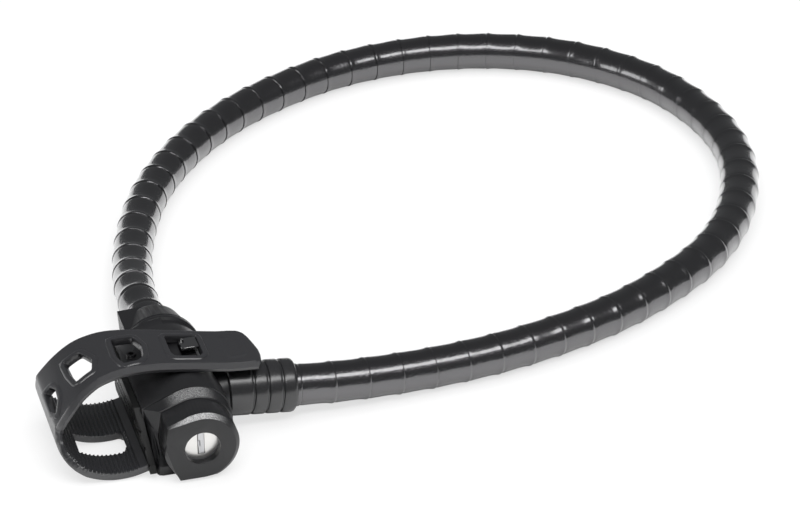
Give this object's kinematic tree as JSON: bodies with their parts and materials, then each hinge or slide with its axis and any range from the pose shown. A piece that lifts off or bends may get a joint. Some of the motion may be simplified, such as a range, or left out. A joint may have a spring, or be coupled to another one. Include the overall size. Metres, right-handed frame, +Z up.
{
  "type": "cable lock",
  "caption": "Armoured cable lock: cup-armoured cable loop from a key-operated lock head back into its side socket, with a ribbed collar and a rubber holder strap.",
  "frame": {"origin": "on the table under the crossing of the key axis and the socket axis, in the middle of the head's flat sole", "axes": "+X out of the side socket along the locking tip, -Y out of the nose past the key plug, +Y out of the rear where the cable leaves, +Z up from the table"},
  "size_m": [0.446, 0.4093, 0.0477],
  "materials": {
    "satin_plastic": "satin",
    "grained_plastic": "fine grain",
    "steel": "machined",
    "zinc": "cast zinc, plain",
    "plug_steel": "satin nickel",
    "shutter_steel": "polished",
    "brass": "machined",
    "bush_plastic": "satin",
    "seal_rubber": "matte",
    "catch_plastic": "satin",
    "strap_rubber": "satin",
    "collar_rubber": "satin",
    "wire_rope": "stranded",
    "cup_steel": "hardened, dark",
    "cable_skin": "smoky gloss"
  },
  "bodies": {
    "head": {"nose_cap": "satin_plastic", "main_housing": "grained_plastic", "rear_cover": "grained_plastic", "lock_core": "steel", "cylinder_case": "zinc", "case_pin": "steel", "socket_bush": "bush_plastic", "socket_seal": "seal_rubber", "rear_seal": "seal_rubber", "rope_ferrule": "steel", "anchor_pin": "steel", "strap_catch": "catch_plastic", "base_plate": "grained_plastic", "plate_screws": "steel", "cover_screws": "steel", "strap_bands": "strap_rubber", "rope_fixed": "wire_rope", "cups_fixed": "cup_steel", "skin_fixed": "cable_skin"},
    "plug": {"key_plug": "plug_steel", "detainer_discs": "brass", "drive_cam": "steel", "shutter_spring": "steel"},
    "shutter": {"keyway_shutter": "shutter_steel"},
    "slide": {"locking_slide": "steel"},
    "strap": {"strap_tail": "strap_rubber"},
    "link_1": {"rope_link_1": "wire_rope", "cup_link_1": "cup_steel", "skin_link_1": "cable_skin"},
    "link_2": {"rope_link_2": "wire_rope", "cup_link_2": "cup_steel", "skin_link_2": "cable_skin"},
    "link_3": {"rope_link_3": "wire_rope", "cup_link_3": "cup_steel", "skin_link_3": "cable_skin"},
    "link_4": {"rope_link_4": "wire_rope", "cup_link_4": "cup_steel", "skin_link_4": "cable_skin"},
    "free_end": {"rope_free": "wire_rope", "cups_left": "cup_steel", "cups_back": "cup_steel", "cups_right": "cup_steel", "cups_front": "cup_steel", "skin_free": "cable_skin", "locking_tip": "steel", "tip_ferrule": "steel", "collar": "collar_rubber"}
  },
  "joints": [
    {"name": "key_turn", "type": "hinge", "parent": "head", "child": "plug", "pos_m": [0, -0.045, 0.0185], "axis": [0, -1, 0], "range_deg": [0, 90]},
    {"name": "shutter_swing", "type": "hinge", "parent": "plug", "child": "shutter", "pos_m": [-0.001, -0.0446, 0.0185], "axis": [0, 0, 1], "range_deg": [0, 80], "stiffness_Nm_per_rad": 0.0005},
    {"name": "locking_travel", "type": "slide", "parent": "head", "child": "slide", "axis": [0, 0, 1], "range_m": [0, 0.0035]},
    {"name": "strap_open", "type": "hinge", "parent": "head", "child": "strap", "pos_m": [-0.0688, 0.006, 0.0238], "axis": [0, -1, 0], "range_deg": [0, 75]},
    {"name": "cable_bend_1", "type": "hinge", "parent": "head", "child": "link_1", "pos_m": [0.00138, 0.11574, 0.01501], "axis": [0, 0, 1], "range_deg": [0, 5]},
    {"name": "cable_bend_2", "type": "hinge", "parent": "link_1", "child": "link_2", "pos_m": [0.0042, 0.13338, 0.0128], "axis": [0, 0, 1], "range_deg": [0, 5]},
    {"name": "cable_bend_3", "type": "hinge", "parent": "link_2", "child": "link_3", "pos_m": [0.00768, 0.15099, 0.01145], "axis": [0, 0, 1], "range_deg": [0, 5]},
    {"name": "cable_bend_4", "type": "hinge", "parent": "link_3", "child": "link_4", "pos_m": [0.01222, 0.16839, 0.01103], "axis": [0, 0, 1], "range_deg": [0, 5]},
    {"name": "cable_bend_5", "type": "hinge", "parent": "link_4", "child": "free_end", "pos_m": [0.01769, 0.18554, 0.01096], "axis": [0, 0, 1], "range_deg": [0, 5]}
  ],
  "couplings": [
    {"joint": "locking_travel", "follows": "key_turn", "m_per_rad": 0.0022282},
    {"joint": "cable_bend_1", "follows": "cable_bend_5", "ratio": 1},
    {"joint": "cable_bend_2", "follows": "cable_bend_5", "ratio": 1},
    {"joint": "cable_bend_3", "follows": "cable_bend_5", "ratio": 1},
    {"joint": "cable_bend_4", "follows": "cable_bend_5", "ratio": 1}
  ]
}
